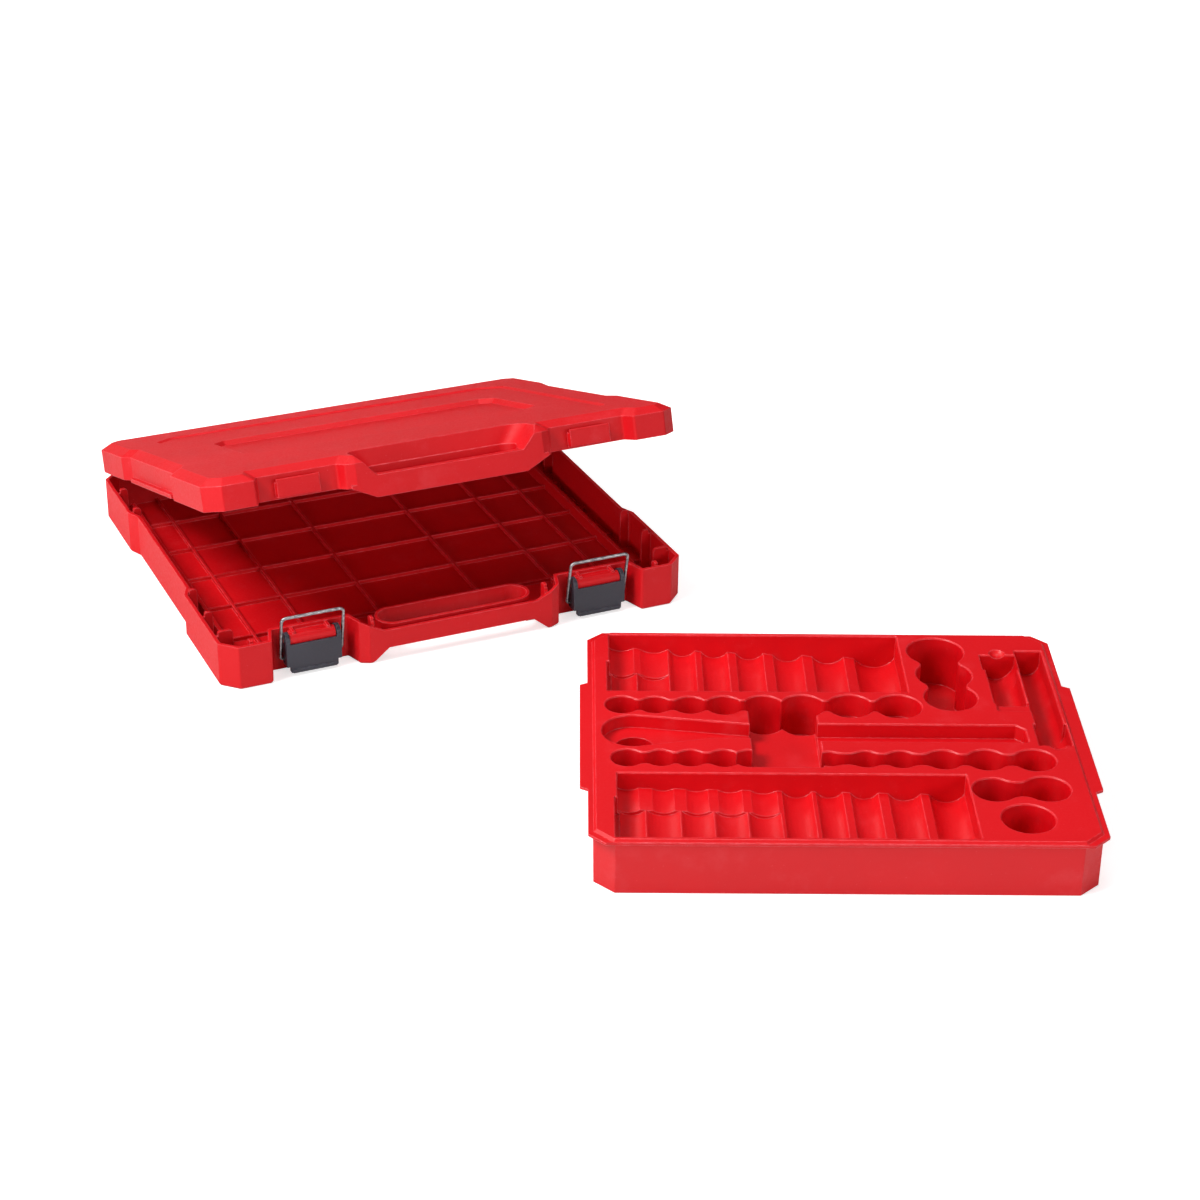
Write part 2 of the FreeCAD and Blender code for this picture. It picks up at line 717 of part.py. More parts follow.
# two troughs of slots for sockets that lie down; each slot is (start, end) from the left edge
upper_limit = deep_holes[0][0] - deep_holes[0][2] / 2 - side_wall
upper_slots = start_at(left, (
    (10.0, 24.7), (28.5, 45.1), (46.2, 61.4), (65.1, 80.9),
    (85.7, 102.1), (108.0, 125.4), (131.5, 150.4), (156.6, 180.9),
), upper_limit)
lower_limit = side_holes[0][0] - side_holes[0][2] / 2 - side_wall
lower_slots = start_at(left, (
    (12.8, 24.7), (32.0, 43.8), (50.4, 62.5), (67.8, 80.9), (85.7, 100.0),
    (102.7, 119.1), (121.4, 135.9), (140.1, 155.4), (160.8, 178.5), (183.1, 202.6),
), lower_limit)
upper_length = 67.7
lower_length = 64.3
upper_trough = (upper_slots[0][0], upper_slots[-1][1], back - end_wall - upper_length, back - end_wall)
lower_trough = (lower_slots[0][0], lower_slots[-1][1], front + end_wall, front + end_wall + lower_length)
upper_ridge = (9.0, 15.8)
lower_ridge = (9.6, 12.9)
upper_step_y = back - 34.3
upper_stepped = 2
lower_step_y = front + 45.3
lower_stepped = 5
slot_step = 1.7
slot_sag = 0.21
slot_base = 0.8
slot_ridge = 0.9
trough_notch = 1.4

# rows of holes for sockets that stand up: (place from the edge, diameter)
hole_depth = 14.3
upper_hole_y = back - 87.7
upper_holes = tuple((left + x, diameter) for x, diameter in (
    (16.7, 19.4), (35.6, 18.7), (55.2, 19.4), (74.6, 21.1),
    (97.1, 22.8), (119.4, 25.0), (146.2, 26.0), (173.6, 26.6),
))
lower_hole_y = front + 84.3
lower_left_holes = tuple((left + x, diameter) for x, diameter in (
    (18.8, 18.1), (37.2, 17.3), (53.5, 17.6), (71.8, 18.2), (86.2, 18.2),
))
lower_right_holes = tuple((right - x, diameter) for x, diameter in (
    (138.3, 15.4), (118.1, 17.4), (98.8, 18.2), (75.6, 20.4), (51.9, 22.0), (25.4, 23.2),
))
neck_half = 5.6
pair_depth = 26.4

# ratchet recess, finger well and bar slot across the middle
head_x = left + 22.0
head_y = -1.5
head_radius = 17.0
grip_y = (head_y - 7.5, head_y + 7.5)
grip_turn_x = left + 66.0
head_depth = 8.0
head_hole = (head_x + 1.0, head_y - 5.5, 11.0)
head_hole_depth = 20.0
well = (left + 88.0, left + 126.0, lower_hole_y - 9.0, upper_hole_y - 2.0)
well_depth = 12.6
bar_slot = (well[1] - 2.0, right - 26.0, head_y - 10.5, head_y + 8.5)
bar_slot_depth = 9.0
bar_slot_cut = 4.5

# two round-bottomed channels at the right
short_slot_x = (right - 38.8, right - 20.6)
short_slot_y = (back - 83.3, back - 26.0)
short_slot_wide = 1.4
short_slot_step_y = short_slot_y[1] - 17.3
short_slot_lip = (short_slot_x[0] + 0.8, short_slot_x[1] + 2.6, short_slot_y[0] - 8.5)
long_slot_x = (right - 19.0, right - 3.4)
long_slot_y = (head_y - 13.4, back - 20.7)
long_slot_wide = 1.4
long_slot_step_y = long_slot_y[0] + 23.9
channel_depth = 16.5
channel_step = 0.8
lip_depth = 2.2
dimple_radius = 5.6
dimple_depth = 2.6


class Pocket:
    """A hollow opening at the plateau, the thin wall round it and its chamfered mouth."""

    def __init__(self, hollow, skin, mouths):
        self.hollow = hollow
        self.skin = skin
        self.mouths = mouths


over = plateau_top + 1.0
deck_bottom = plateau_top - deck
under_deck = deck_bottom + 0.5
mouth_bottom = plateau_top - mouth_edge
mouth_over = 0.2


def outline_mouth(points, radius):
    grow = mouth_edge + mouth_over
    low = inset(points, 0)
    return taper(low, radius, mouth_bottom, inset(points, -grow), radius + grow, plateau_top + mouth_over)


def round_pocket(x, y, radius, bottom):
    skin = post(x, y, bottom - pocket_wall, under_deck, radius + pocket_wall)
    grow = mouth_edge + mouth_over
    mouth = Part.makeCone(radius, radius + grow, grow, V(x, y, mouth_bottom), V(0, 0, 1))
    return Pocket(post(x, y, bottom, over, radius), skin, [mouth])


def box_pocket(x0, x1, y0, y1, bottom, radius=1.0):
    return outline_pocket(rectangle(x0, x1, y0, y1), radius, bottom)


def outline_pocket(points, radius, bottom):
    g = pocket_wall
    skin = prism(inset(points, -g), radius + g, bottom - g, under_deck)
    return Pocket(prism(points, radius, bottom, over), skin, [outline_mouth(points, radius)])


def trough_profile(slots, ridges, stepped, raised, place):
    """Row of shallow round-bottomed slots seen from the front, closed above the plateau."""
    n = len(slots)
    edges = []
    first_x, last_x = slots[0][0], slots[-1][1]
    span = last_x - first_x
    corners = []
    for i in range(n):
        x0, x1 = slots[i]
        middle = (x0 + x1) / 2
        depth = ridges[0] + (ridges[1] - ridges[0]) * (middle - first_x) / span
        ridge = plateau_top - depth
        sag = slot_sag * (x1 - x0) + slot_base
        if raised and i < stepped:
            sag -= slot_step
        elif i < stepped:
            x0 = (slots[i - 1][1] + x0 + slot_ridge) / 2 if i else x0
            x1 = (x1 + slots[i + 1][0] - slot_ridge) / 2
        corners.append((x0, middle, x1, ridge, ridge - sag))
    at = place(first_x, over)
    for x0, middle, x1, ridge, low in corners:
        start = place(x0, ridge)
        if at.distanceToPoint(start) > 1e-6:
            edges.append(Part.makeLine(at, start))
        end = place(x1, ridge)
        edges.append(Part.Arc(start, place(middle, low), end).toShape())
        at = end
    edges.append(Part.makeLine(at, place(last_x, over)))
    edges.append(Part.makeLine(place(last_x, over), place(first_x, over)))
    return Part.Wire(edges)


def trough_pocket(limits, slots, ridges, stepped, step_y):
    x0, x1, y0, y1 = limits
    front = Part.Face(trough_profile(slots, ridges, stepped, False, front_view(y0)))
    back = Part.Face(trough_profile(slots, ridges, stepped, True, front_view(step_y)))
    hollow = front.extrude(V(0, step_y - y0, 0)).fuse(back.extrude(V(0, y1 - step_y, 0)))
    notch = box(x0 - trough_notch, x0 + 1, y0, step_y - 2.0, plateau_top - ridges[0] - 2.0, over)
    hollow = hollow.fuse(notch)
    g = pocket_wall
    parts = []
    n = len(slots)
    for i in range(n):
        a = x0 - g - trough_notch if i == 0 else (slots[i - 1][1] + slots[i][0]) / 2 - 0.01
        b = x1 + g if i == n - 1 else (slots[i][1] + slots[i + 1][0]) / 2 + 0.01
        middle = (slots[i][0] + slots[i][1]) / 2
        depth = ridges[0] + (ridges[1] - ridges[0]) * (middle - slots[0][0]) / (slots[-1][1] - slots[0][0])
        sag = slot_sag * (slots[i][1] - slots[i][0]) + slot_base
        low = plateau_top - depth - sag - g
        parts.append(box(a, b, y0 - g, y1 + g, low, under_deck))
    mouths = [outline_mouth(rectangle(x0, x1, y0, y1), 0.3)]
    mouths.append(outline_mouth(rectangle(x0 - trough_notch, x0 + 1, y0, step_y - 2.0), 0.3))
    return Pocket(hollow, parts[0].multiFuse(parts[1:]), mouths)


def channel(x0, x1, y0, y1, bottom):
    """Round-bottomed channel running front to back."""
    half = (x1 - x0) / 2
    middle = (x0 + x1) / 2
    along = V(0, y1 - y0, 0)
    tube = Part.makeCylinder(half, y1 - y0, V(middle, y0, bottom + half), V(0, 1, 0))
    return tube.fuse(box(x0, x1, y0, y1, bottom + half, over))


def channel_pocket(sections, bottom):
    """Narrow channel all the way, with a wider stretch whose floor is a little higher."""
    narrow = channel(*sections[0], bottom)
    hollow = narrow.multiFuse([channel(*s, bottom + channel_step) for s in sections[1:]])
    g = pocket_wall
    x0 = min(s[0] for s in sections)
    x1 = max(s[1] for s in sections)
    y0 = min(s[2] for s in sections)
    y1 = max(s[3] for s in sections)
    skin = prism(rectangle(x0 - g, x1 + g, y0 - g, y1 + g), 1.5, bottom - g, under_deck)
    mouths = [outline_mouth(rectangle(*s), 0.3) for s in sections]
    return Pocket(hollow, skin, mouths)


def neck_pocket(first, second, half, bottom):
    """Passage between two round holes, blended into both with one round on each side."""
    (xa, ya, ra), (xb, yb, rb) = first, second
    span = math.hypot(xb - xa, yb - ya)
    mean = (ra + rb) / 2
    blend = (span * span / 4 + half * half - mean * mean) / (2 * (mean - half))
    along = (span * span + (ra + blend) ** 2 - (rb + blend) ** 2) / (2 * span)
    across = math.sqrt((ra + blend) ** 2 - along * along)
    ux, uy = (xb - xa) / span, (yb - ya) / span
    centres = [
        (xa + along * ux - side * across * uy, ya + along * uy + side * across * ux)
        for side in (-1, 1)
    ]
    kite = [(xa, ya), centres[0], (xb, yb), centres[1]]

    def passage(z0, z1, grow):
        solid = prism(kite, 0, z0, z1)
        if blend > grow + 0.1:
            for x, y in centres:
                solid = solid.cut(post(x, y, z0 - 1, z1 + 1, blend - grow))
        return solid

    mouth = prism(kite, 0, mouth_bottom, plateau_top + mouth_over)
    grow = min(mouth_edge + mouth_over, blend - 0.05)
    for x, y in centres:
        mouth = mouth.cut(Part.makeCone(blend, blend - grow, grow, V(x, y, mouth_bottom), V(0, 0, 1)))
    g = pocket_wall
    return Pocket(passage(bottom, over, 0), passage(bottom - g, under_deck, g), [mouth])


def joined_holes(holes, half, bottoms):
    """Round holes (x, y, radius) in a chain, with a neck between each and the next."""
    found = [round_pocket(x, y, radius, bottom) for (x, y, radius), bottom in zip(holes, bottoms)]
    for i in range(len(holes) - 1):
        found.append(neck_pocket(holes[i], holes[i + 1], half, max(bottoms[i], bottoms[i + 1])))
    return found


def row_pockets(row, y, depths):
    holes = [(x, y, diameter / 2) for x, diameter in row]
    return joined_holes(holes, neck_half, [plateau_top - depth for depth in depths])


def tangent_point(cx, cy, radius, x, y, side):
    """Where a line from (x, y) touches the circle, on its upper (1) or lower (-1) side."""
    away = math.hypot(x - cx, y - cy)
    angle = math.atan2(y - cy, x - cx) + side * math.acos(radius / away)
    return (cx + radius * math.cos(angle), cy + radius * math.sin(angle))


def tray_pockets():
    found = [
        trough_pocket(upper_trough, upper_slots, upper_ridge, upper_stepped, upper_step_y),
        trough_pocket(lower_trough, lower_slots, lower_ridge, lower_stepped, lower_step_y),
    ]
    depths = [pair_depth if well[0] < x < well[1] else hole_depth for x, diameter in upper_holes]
    found += row_pockets(upper_holes, upper_hole_y, depths)
    found += row_pockets(lower_left_holes, lower_hole_y, [hole_depth] * len(lower_left_holes))
    found += row_pockets(lower_right_holes, lower_hole_y, [hole_depth] * len(lower_right_holes))
    found.append(box_pocket(*well, plateau_top - well_depth, 1.5))

    head_floor = plateau_top - head_depth
    found.append(round_pocket(head_x, head_y, head_radius, head_floor))
    end_x = well[0] + 2
    upper = tangent_point(head_x, head_y, head_radius, end_x, grip_y[1], 1)
    lower = tangent_point(head_x, head_y, head_radius, grip_turn_x, grip_y[0], -1)
    taper_points = [lower, (grip_turn_x, grip_y[0]), (end_x, grip_y[0]), (end_x, grip_y[1]), upper]
    found.append(outline_pocket(taper_points, 0.2, head_floor))
    found.append(round_pocket(head_hole[0], head_hole[1], head_hole[2], plateau_top - head_hole_depth))
    x0, x1, y0, y1 = bar_slot
    c = bar_slot_cut
    bar_points = [(x0, y0), (x1, y0), (x1, y1 - c), (x1 - c, y1), (x0, y1)]
    found.append(outline_pocket(bar_points, 1.5, plateau_top - bar_slot_depth))

    found += joined_holes([(x, y, d / 2) for x, y, d in deep_holes], deep_neck_half, [deep_floor] * 3)
    side_floor = plateau_top - side_hole_depth
    found += joined_holes([(x, y, d / 2) for x, y, d in side_holes], side_hole_neck, [side_floor] * 2)
    x, y, diameter = single_hole
    found.append(round_pocket(x, y, diameter / 2, side_floor))

    channel_floor = plateau_top - channel_depth
    a, b = short_slot_x
    w = short_slot_wide
    found.append(channel_pocket(
        [(a, b, short_slot_y[0], short_slot_y[1]), (a - w, b + w, short_slot_step_y, short_slot_y[1])],
        channel_floor))
    found.append(box_pocket(short_slot_lip[0], short_slot_lip[1], short_slot_lip[2], short_slot_y[0] + 1,
                            plateau_top - lip_depth, 0.8))
    a, b = long_slot_x
    w = long_slot_wide
    found.append(channel_pocket(
        [(a, b, long_slot_y[0], long_slot_y[1]), (a - w, b + w, long_slot_y[0], long_slot_step_y)],
        channel_floor))
    short_middle = (short_slot_x[0] + short_slot_x[1]) / 2
    long_middle = (long_slot_x[0] + long_slot_x[1]) / 2
    found.append(dimple_pocket(short_middle, short_slot_y[1] + 1.6))
    found.append(dimple_pocket(long_middle + 1.0, long_slot_y[0] - 0.4))
    return found


def dimple_pocket(x, y):
    ball = Part.makeSphere(dimple_radius, V(x, y, plateau_top + dimple_radius - dimple_depth))
    rim = math.sqrt(dimple_radius ** 2 - (dimple_radius - dimple_depth) ** 2)
    skin = post(x, y, plateau_top - dimple_depth - pocket_wall, under_deck, rim + pocket_wall)
    return Pocket(ball, skin, [])


def make_tray():
    skirt = cut_rectangle(-tray_half_x, tray_half_x, -tray_half_y, tray_half_y, tray_cut_x, tray_cut_y)
    flange = cut_rectangle(-flange_half_x, flange_half_x, -flange_half_y, flange_half_y,
                           flange_cut, flange_cut)
    wing = [
        (-flange_half_x + 3, wing_y[0]), (flange_half_x - 3, wing_y[0]),
        (wing_half_x, wing_y[0] + wing_slope), (wing_half_x, wing_y[1] - wing_slope),
        (flange_half_x - 3, wing_y[1]), (-flange_half_x + 3, wing_y[1]),
        (-wing_half_x, wing_y[1] - wing_slope), (-wing_half_x, wing_y[0] + wing_slope),
    ]
    plateau = cut_rectangle(-plateau_half_x, plateau_half_x, -plateau_half_y, plateau_half_y,
                            plateau_cut, plateau_cut)
    rise = plateau_top - flange_top
    body = prism(skirt, 0.8, 0, flange_bottom + 0.5)
    body = body.multiFuse([
        prism(flange, 0.8, flange_bottom, flange_top),
        prism(wing, 1.0, flange_bottom, flange_top),
        taper(inset(plateau, -rise * 0.9), 1.2, flange_top - 0.01, plateau, 1.0, plateau_top),
    ])
    body = body.cut(prism(inset(skirt, tray_skirt), 0.8, -1, deck_bottom))
    pockets = tray_pockets()
    body = body.multiFuse([p.skin for p in pockets])
    for p in pockets:
        body = body.cut(p.hollow)
    for p in pockets:
        for mouth in p.mouths:
            body = body.cut(mouth)
    body = cleaned(body)
    body.rotate(V(0, 0, 0), V(0, 0, 1), tray_yaw)
    body.translate(V(tray_x, tray_y, 0))
    return body


# ---------------------------------------------------------------- all pieces
def main():
    pieces = {
        "case_base": make_base(),
        "lid": make_lid(),
        "socket_tray": make_tray(),
    }
    for side, word in ((-1, "left"), (1, "right")):
        pieces["hinge_pin_" + word] = make_hinge_pin(side * hinge_x)
        pieces["latch_pin_" + word] = make_latch_pin(side * latch_x)
        pieces["latch_lever_" + word] = make_lever(side * latch_x)
        pieces["latch_bail_" + word] = make_bail(side * latch_x)
    os.makedirs("parts", exist_ok=True)
    for name, shape in pieces.items():
        print(name, shape.ShapeType, len(shape.Solids), shape.isValid(), round(shape.Volume / 1000, 2))
        shape.exportStep("parts/" + name + ".step")


main()
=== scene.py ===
import math

import bpy
from mathutils import Matrix, Vector

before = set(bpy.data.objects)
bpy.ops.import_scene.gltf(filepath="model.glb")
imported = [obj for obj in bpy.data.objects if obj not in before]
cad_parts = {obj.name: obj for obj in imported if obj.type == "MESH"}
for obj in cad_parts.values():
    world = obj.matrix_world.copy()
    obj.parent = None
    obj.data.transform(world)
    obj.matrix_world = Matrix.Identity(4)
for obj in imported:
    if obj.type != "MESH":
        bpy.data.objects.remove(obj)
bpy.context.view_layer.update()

# ---------------------------------------------------------------- node helpers

WHITE = (1, 1, 1, 1)

# a mix node has float and vector sockets too, so its colour sockets are taken by their place
MIX_COLOUR_A = 6
MIX_COLOUR_B = 7
MIX_COLOUR_RESULT = 2


class Graph:
    """Adds shader nodes to the node tree of a material or a world."""

    def __init__(self, owner):
        owner.use_nodes = True
        self.tree = owner.node_tree
        self.tree.nodes.clear()

    def add(self, kind, **settings):
        node = self.tree.nodes.new(kind)
        for key, value in settings.items():
            setattr(node, key, value)
        return node

    def link(self, out, into):
        self.tree.links.new(out, into)

    def feed(self, value, socket):
        """Set a plain number or colour on the socket, or link an output to it."""
        if isinstance(value, (int, float, tuple)):
            socket.default_value = value
        else:
            self.link(value, socket)

    def coords(self, system="Object"):
        return self.add("ShaderNodeTexCoord").outputs[system]

    def along_y(self, vector):
        node = self.add("ShaderNodeSeparateXYZ")
        self.link(vector, node.inputs[0])
        return node.outputs["Y"]

    def noise(self, scale, detail=3.0, roughness=0.55, vector=None):
        node = self.add("ShaderNodeTexNoise")
        node.inputs["Scale"].default_value = scale
        node.inputs["Detail"].default_value = detail
        node.inputs["Roughness"].default_value = roughness
        self.link(vector if vector is not None else self.coords(), node.inputs["Vector"])
        return node.outputs["Fac"]

    def ramp(self, value, low, high, out_low, out_high):
        """Turn low..high into out_low..out_high, held at both ends."""
        node = self.add("ShaderNodeMapRange")
        node.inputs["From Min"].default_value = low
        node.inputs["From Max"].default_value = high
        node.inputs["To Min"].default_value = out_low
        node.inputs["To Max"].default_value = out_high
        self.link(value, node.inputs["Value"])
        return node.outputs["Result"]

    def mix(self, factor, first, second):
        node = self.add("ShaderNodeMix", data_type="RGBA")
        self.link(factor, node.inputs["Factor"])
        self.feed(first, node.inputs[MIX_COLOUR_A])
        self.feed(second, node.inputs[MIX_COLOUR_B])
        return node.outputs[MIX_COLOUR_RESULT]

    def math(self, operation, first, second):
        node = self.add("ShaderNodeMath", operation=operation)
        self.feed(first, node.inputs[0])
        self.feed(second, node.inputs[1])
        return node.outputs[0]

    def bump(self, height, strength, distance, normal=None):
        node = self.add("ShaderNodeBump")
        node.inputs["Strength"].default_value = strength
        node.inputs["Distance"].default_value = distance
        self.link(height, node.inputs["Height"])
        if normal is not None:
            self.link(normal, node.inputs["Normal"])
        return node.outputs["Normal"]

    def white_light(self, kind, strength):
        """White emission or background; its strength is a number or an output."""
        node = self.add(kind)
        node.inputs["Color"].default_value = WHITE
        self.feed(strength, node.inputs["Strength"])
        return node.outputs[0]

    def finish(self, shader, kind="ShaderNodeOutputMaterial"):
        out = self.add(kind)
        self.link(shader, out.inputs["Surface"])


def srgb(red, green, blue):
    """Colour for a node from the 0 to 255 values that a picture shows."""
    def linear(c):
        c /= 255
        return c / 12.92 if c <= 0.04045 else ((c + 0.055) / 1.055) ** 2.4
    return (linear(red), linear(green), linear(blue), 1.0)


# ---------------------------------------------------------------- materials

# moulded edges: how far they are rounded in shading (m)
EDGE_RADIUS = 0.0008
EDGE_SAMPLES = 4
# cosine between the rounded and the true normal where the edges' rubbing and painted highlight begin, and
# where they are full
WEAR_AND_HIGHLIGHT_BEGINS = 0.985
WEAR_AND_HIGHLIGHT_FULL = 0.85
WEAR_GLOSS = 0.10

# noise scales of moulded plastic, in waves per metre
FLOW_WAVES = 11.0
SINK_WAVES = 24.0
HAZE_WAVES = 34.0
SCUFF_AND_HIGHLIGHT_WAVES = 210.0
MICRO_WAVES = 640.0
SPECK_WAVES = 900.0
GRAIN_WAVES = 2600.0

# most that haze and dust specks turn the plastic pale
HAZE_MOST = 0.10
SPECK_MOST = 0.22

# heights of the plastic's surface (m)
SINK_HEIGHT = 0.0005
MICRO_HEIGHT = 0.00010
GRAIN_HEIGHT = 0.00004
PLASTIC_IOR = 1.49

# noise scales of wire in waves per metre, and heights of its surface (m)
PATCH_WAVES = 420.0
PIT_WAVES = 1900.0
STREAK_WAVES = (260.0, 2400.0, 900.0)
STREAK_HEIGHT = 0.00008
PIT_HEIGHT = 0.00005


def rounded_edges(graph):
    """Normal that turns smoothly round every edge, and how close a point is to one."""
    bevel = graph.add("ShaderNodeBevel", samples=EDGE_SAMPLES)
    bevel.inputs["Radius"].default_value = EDGE_RADIUS
    true_normal = graph.add("ShaderNodeNewGeometry").outputs["Normal"]
    dot = graph.add("ShaderNodeVectorMath", operation="DOT_PRODUCT")
    graph.link(bevel.outputs[0], dot.inputs[0])
    graph.link(true_normal, dot.inputs[1])
    near = graph.ramp(dot.outputs["Value"], WEAR_AND_HIGHLIGHT_BEGINS, WEAR_AND_HIGHLIGHT_FULL, 0.0, 1.0)
    return bevel.outputs[0], near


def moulded_plastic(name, colour, dark, pale, rough, grain, level):
    """Grained plastic that varies from colour to dark and is made pale along its edges, partly as rubbing
    and partly as a painted highlight.
    """
    material = bpy.data.materials.new(name)
    g = Graph(material)
    edge_normal, near_edge = rounded_edges(g)
    # slight changes of tone where the melt flowed, handling haze, dust specks, and edges made pale partly
    # by rubbing and partly by a painted highlight
    flow = g.ramp(g.noise(FLOW_WAVES, 2.0), 0.35, 0.7, 0.0, 1.0)
    haze = g.ramp(g.noise(HAZE_WAVES, 5.0, 0.7), 0.56, 0.78, 0.0, HAZE_MOST)
    specks = g.ramp(g.noise(SPECK_WAVES, 1.0, 0.5), 0.74, 0.80, 0.0, SPECK_MOST)
    # the pale mixed in along every edge is partly rubbing and partly a painted highlight that stands in
    # for the glints on the rounded rims
    scuff_and_highlight = g.ramp(g.noise(SCUFF_AND_HIGHLIGHT_WAVES, 4.0), 0.38, 0.68, 0.25, 0.9)
    tone = g.mix(flow, dark, colour)
    for pale_mark in (haze, specks, g.math("MULTIPLY", near_edge, scuff_and_highlight)):
        tone = g.mix(pale_mark, tone, pale)
    # spark-eroded tool grain over very shallow sinks
    fine = g.noise(GRAIN_WAVES, 2.0, 0.5)
    micro = g.noise(MICRO_WAVES, 3.0, 0.6)
    roughness = g.ramp(micro, 0.3, 0.7, rough - 0.05, rough + 0.07)
    roughness = g.math("SUBTRACT", roughness, g.math("MULTIPLY", near_edge, WEAR_GLOSS))
    normal = g.bump(g.noise(SINK_WAVES, 1.0, 0.5), 0.10, SINK_HEIGHT, edge_normal)
    normal = g.bump(micro, grain * 0.6, MICRO_HEIGHT, normal)
    normal = g.bump(fine, grain, GRAIN_HEIGHT, normal)
    shader = g.add("ShaderNodeBsdfPrincipled")
    shader.inputs["IOR"].default_value = PLASTIC_IOR
    shader.inputs["Specular IOR Level"].default_value = level
    g.link(tone, shader.inputs["Base Color"])
    g.link(roughness, shader.inputs["Roughness"])
    g.link(normal, shader.inputs["Normal"])
    g.finish(shader.outputs[0])
    return material


def drawn_wire(name, colour, dark, rough):
    """Zinc plated metal with dull patches, die lines and fine pits."""
    material = bpy.data.materials.new(name)
    g = Graph(material)
    patches = g.ramp(g.noise(PATCH_WAVES, 4.0, 0.7), 0.4, 0.65, 0.0, 1.0)
    tone = g.mix(patches, dark, colour)
    # the noise is stretched along X, the way the pins and the tops of the bails run
    stretch = g.add("ShaderNodeMapping")
    stretch.inputs["Scale"].default_value = STREAK_WAVES
    g.link(g.coords(), stretch.inputs["Vector"])
    streak = g.noise(1.0, 3.0, 0.6, stretch.outputs["Vector"])
    roughness = g.ramp(streak, 0.3, 0.7, rough - 0.08, rough + 0.12)
    normal = g.bump(streak, 0.25, STREAK_HEIGHT)
    normal = g.bump(g.noise(PIT_WAVES, 2.0, 0.6), 0.3, PIT_HEIGHT, normal)
    shader = g.add("ShaderNodeBsdfPrincipled")
    shader.inputs["Metallic"].default_value = 1.0
    g.link(tone, shader.inputs["Base Color"])
    g.link(roughness, shader.inputs["Roughness"])
    g.link(normal, shader.inputs["Normal"])
    g.finish(shader.outputs[0])
    return material


pale_red = srgb(246, 112, 122)
case_red = moulded_plastic(
    "case_red", srgb(210, 3, 17), srgb(203, 2, 14), pale_red, rough=0.54, grain=0.25, level=0.32)
lid_red = moulded_plastic(
    "lid_red", srgb(206, 3, 18), srgb(198, 2, 14), pale_red, rough=0.56, grain=0.3, level=0.3)
tray_red = moulded_plastic(
    "tray_red", srgb(212, 3, 17), srgb(205, 2, 14), srgb(248, 116, 126), rough=0.42, grain=0.2, level=0.45)
charcoal = moulded_plastic(
    "charcoal", srgb(58, 57, 68), srgb(46, 45, 54), srgb(98, 100, 112), rough=0.46, grain=0.4, level=0.5)
zinc_wire = drawn_wire("zinc_wire", srgb(190, 190, 192), srgb(120, 122, 126), rough=0.34)

# the pins and bails, which aren't listed, are zinc wire
FINISH = {
    "case_base": case_red,
    "lid": lid_red,
    "socket_tray": tray_red,
    "latch_lever_left": charcoal,
    "latch_lever_right": charcoal,
}

for node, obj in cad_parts.items():
    material = FINISH.get(node, zinc_wire)
    if not obj.material_slots:
        obj.data.materials.append(material)
    for slot in obj.material_slots:
        slot.material = material

# ---------------------------------------------------------------- floor

FLOOR_SIZE = 24
# just under the object, so that the two never share a plane
FLOOR_TOP = -0.0002
PAPER_GREY = 0.72
# white that the floor adds for the camera, low enough to keep the object's shadow
PAPER_SHOWN = 0.66
# along Y (m) the floor that gloss mirrors goes from the lit front to the darker back
LIT_FROM = -1.3
LIT_TO = -0.35
LIT_FRONT = 0.45
LIT_BACK = 0.02

paper = bpy.data.materials.new("floor_paper")
g = Graph(paper)
ray = g.add("ShaderNodeLightPath")
shown = g.math("MULTIPLY", ray.outputs["Is Camera Ray"], PAPER_SHOWN)
lit = g.ramp(g.along_y(g.coords()), LIT_FROM, LIT_TO, LIT_FRONT, LIT_BACK)
mirrored = g.math("MULTIPLY", ray.outputs["Is Glossy Ray"], lit)
diffuse = g.add("ShaderNodeBsdfDiffuse")
diffuse.inputs["Color"].default_value = (PAPER_GREY, PAPER_GREY, PAPER_GREY, 1)
both = g.add("ShaderNodeAddShader")
g.link(diffuse.outputs[0], both.inputs[0])
g.link(g.white_light("ShaderNodeEmission", g.math("ADD", shown, mirrored)), both.inputs[1])
g.finish(both.outputs[0])

bpy.ops.mesh.primitive_plane_add(size=FLOOR_SIZE, location=(0, 0, FLOOR_TOP))
ground = bpy.context.object
ground.name = "floor"
ground.data.materials.append(paper)

# ---------------------------------------------------------------- room and lights

# the room is brighter in front of the object than behind it, and white to the camera
ROOM_FRONT = 0.16
ROOM_BACK = 0.05

world = bpy.data.worlds.new("studio")
bpy.context.scene.world = world
g = Graph(world)
ray = g.add("ShaderNodeLightPath")
room = g.ramp(g.along_y(g.coords("Generated")), -1.0, 1.0, ROOM_FRONT, ROOM_BACK)
choose = g.add("ShaderNodeMixShader")
g.link(ray.outputs["Is Camera Ray"], choose.inputs[0])
g.link(g.white_light("ShaderNodeBackground", room), choose.inputs[1])
g.link(g.white_light("ShaderNodeBackground", 1.0), choose.inputs[2])
g.finish(choose.outputs[0], "ShaderNodeOutputWorld")

CENTRE = (0.05, -0.2, 0.02)
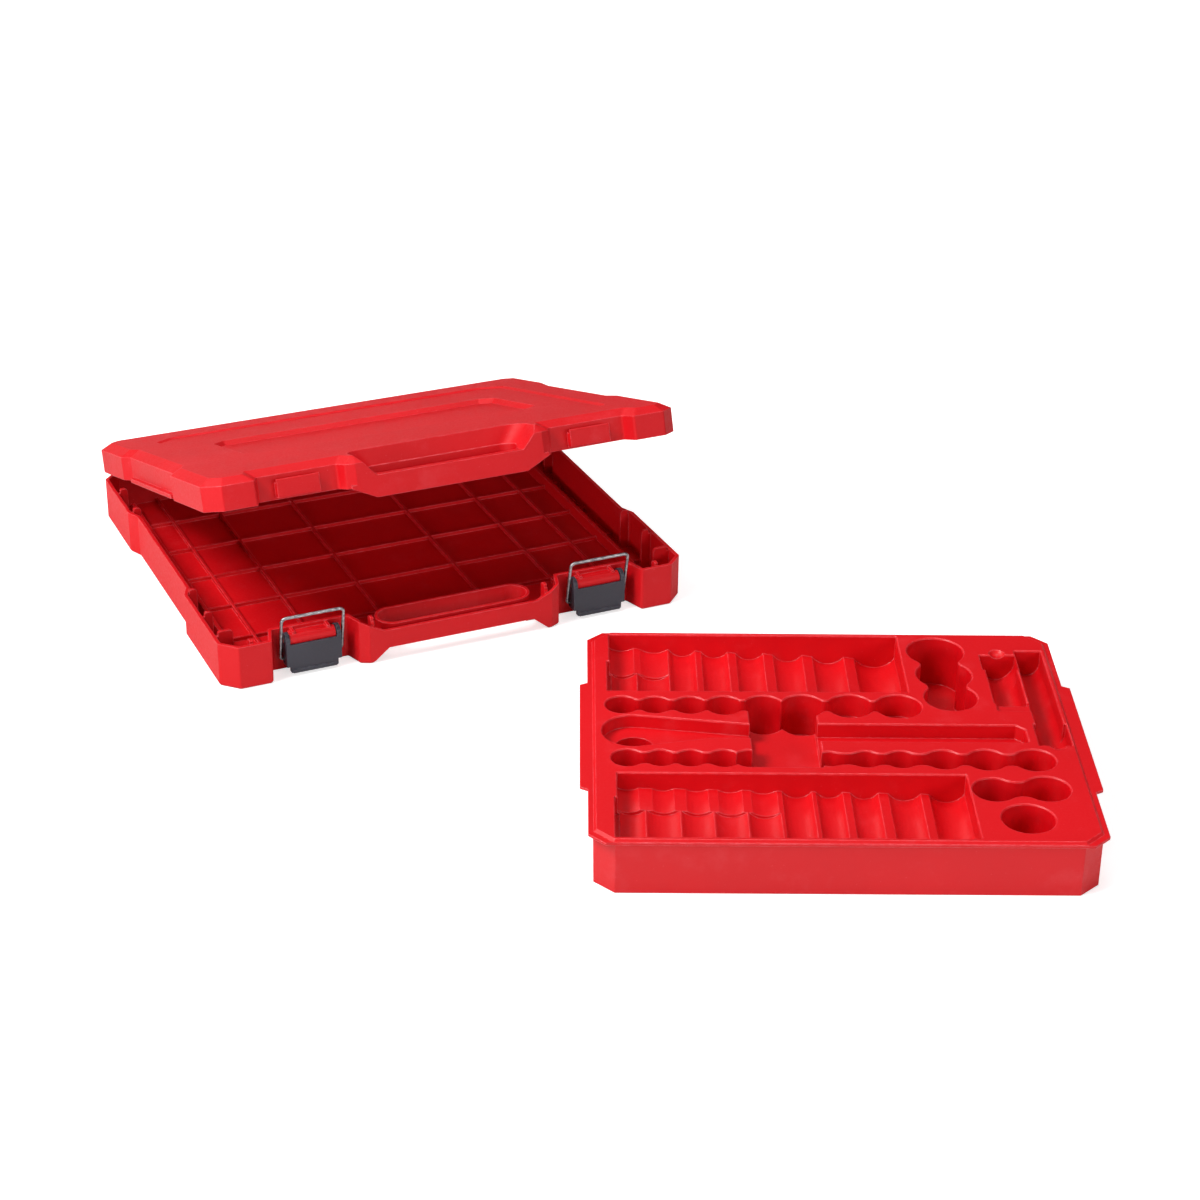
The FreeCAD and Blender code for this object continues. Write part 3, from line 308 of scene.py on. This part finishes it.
# name, place and target (m), width and height (m), watts
LIGHTS = (
    ("key", (-1.5, -0.15, 1.9), CENTRE, (1.0, 0.9), 60),
    ("left", (-2.0, -1.0, 0.5), CENTRE, (0.6, 0.5), 13),
    ("front", (0.9, -2.4, 0.85), CENTRE, (1.4, 0.7), 19),
    ("top", (0.4, 0.1, 2.2), CENTRE, (1.0, 0.8), 14),
    ("behind", (-0.3, 1.3, 1.2), (0.1, -0.35, 0.0), (0.9, 0.6), 5),
)

for name, place, target, size, watts in LIGHTS:
    data = bpy.data.lights.new(name, "AREA")
    data.shape = "RECTANGLE"
    data.size, data.size_y = size
    data.energy = watts
    lamp = bpy.data.objects.new(name, data)
    bpy.context.collection.objects.link(lamp)
    lamp.location = place
    lamp.rotation_euler = (Vector(target) - Vector(place)).to_track_quat("-Z", "Y").to_euler()

# ---------------------------------------------------------------- camera

# fitted to the whole photograph; angles in radians, place in metres
FOCAL_PIXELS = 2687.9
IMAGE_PIXELS = 1200
SENSOR_WIDTH = 36.0
NEAR_CLIP = 0.05
CAMERA_PLACE = (-0.5309, -1.4933, 0.7866)
PITCH = math.radians(27.389)
ROLL = 0.0136
HEADING = Vector((0.4174, 0.9087, 0)).normalized()

forward = HEADING * math.cos(PITCH) + Vector((0, 0, -math.sin(PITCH)))
right = forward.cross(Vector((0, 0, 1))).normalized()
up = right.cross(forward).normalized()
axis_x = right * math.cos(ROLL) + up * math.sin(ROLL)
axis_y = up * math.cos(ROLL) - right * math.sin(ROLL)
turn = Matrix((axis_x, axis_y, -forward)).transposed().to_4x4()

camera_data = bpy.data.cameras.new("camera")
camera_data.sensor_width = SENSOR_WIDTH
camera_data.lens = FOCAL_PIXELS / IMAGE_PIXELS * SENSOR_WIDTH
camera_data.clip_start = NEAR_CLIP
camera = bpy.data.objects.new("camera", camera_data)
bpy.context.collection.objects.link(camera)
camera.matrix_world = Matrix.Translation(CAMERA_PLACE) @ turn
bpy.context.scene.camera = camera
bpy.context.scene.view_settings.view_transform = "Standard"
